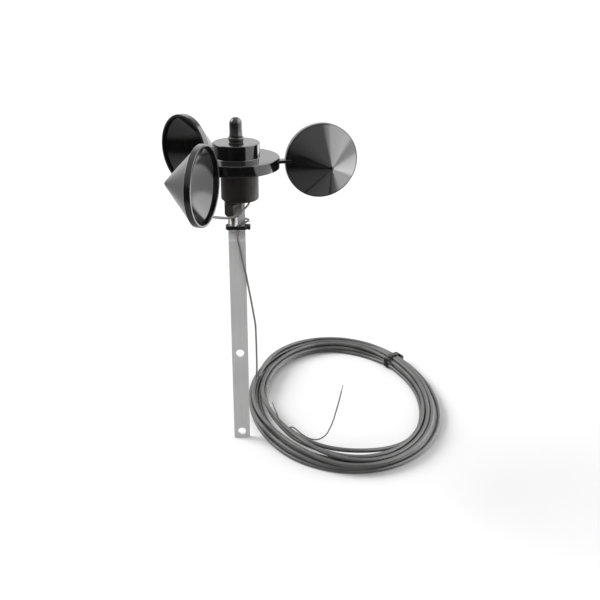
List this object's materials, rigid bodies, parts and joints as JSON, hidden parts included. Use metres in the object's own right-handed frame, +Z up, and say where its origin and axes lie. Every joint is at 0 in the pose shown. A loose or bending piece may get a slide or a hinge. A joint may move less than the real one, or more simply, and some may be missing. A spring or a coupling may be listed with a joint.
{
  "type": "cup anemometer",
  "caption": "Three-cone anemometer: cupped rotor on a fixed axle over a reed-switch housing, on a strip bracket with a coil of signal cable.",
  "frame": {"origin": "where the rotor axis meets the plane of the bracket's foot, on the foot's end face", "axes": "+Z up along the rotor axis, +X towards the coil of cable, -Y the side from which the strip's flat and its screws are reached"},
  "size_m": [0.1618, 0.1746, 0.1855],
  "materials": {
    "rotor_plastic": "gloss black",
    "housing_plastic": "turned matt black",
    "bush_plastic": "natural white",
    "stainless": "ground",
    "black_steel": "black oxide",
    "vinyl": "soft black",
    "aluminium": "mill finish",
    "magnet": "nickel plated",
    "glass": "clear",
    "copper": "tinned copper",
    "potting": "black resin",
    "lead_jacket": "grey vinyl",
    "cable_jacket": "grey vinyl",
    "heat_shrink": "matt black",
    "tinned_wire": "tinned copper",
    "tie_nylon": "black nylon"
  },
  "bodies": {
    "base": {"axle": "stainless", "thrust_washer": "bush_plastic", "top_washer": "tie_nylon", "retaining_collar": "black_steel", "end_cap": "vinyl", "sensor_housing": "housing_plastic", "reed_switch": "glass", "reed_wire_upper": "copper", "reed_wire_lower": "copper", "pocket_plug": "potting", "mounting_bracket": "aluminium", "flange_stud": "stainless", "flange_nut": "black_steel", "flange_washer": "black_steel", "sensor_lead": "lead_jacket", "bracket_cable_tie": "tie_nylon", "splice_sleeve": "heat_shrink", "coiled_cable": "cable_jacket", "coil_cable_tie": "tie_nylon", "conductor_long": "tinned_wire", "conductor_short": "tinned_wire"},
    "rotor": {"rotor_hub": "rotor_plastic", "cup_a": "rotor_plastic", "cup_b": "rotor_plastic", "cup_c": "rotor_plastic", "lower_bush": "bush_plastic", "upper_bush": "bush_plastic", "sensor_magnet": "magnet"}
  },
  "joints": [
    {"name": "rotor_spin", "type": "hinge", "parent": "base", "child": "rotor", "pos_m": [0, 0, 0.1615], "axis": [0, 0, 1], "continuous": true}
  ]
}
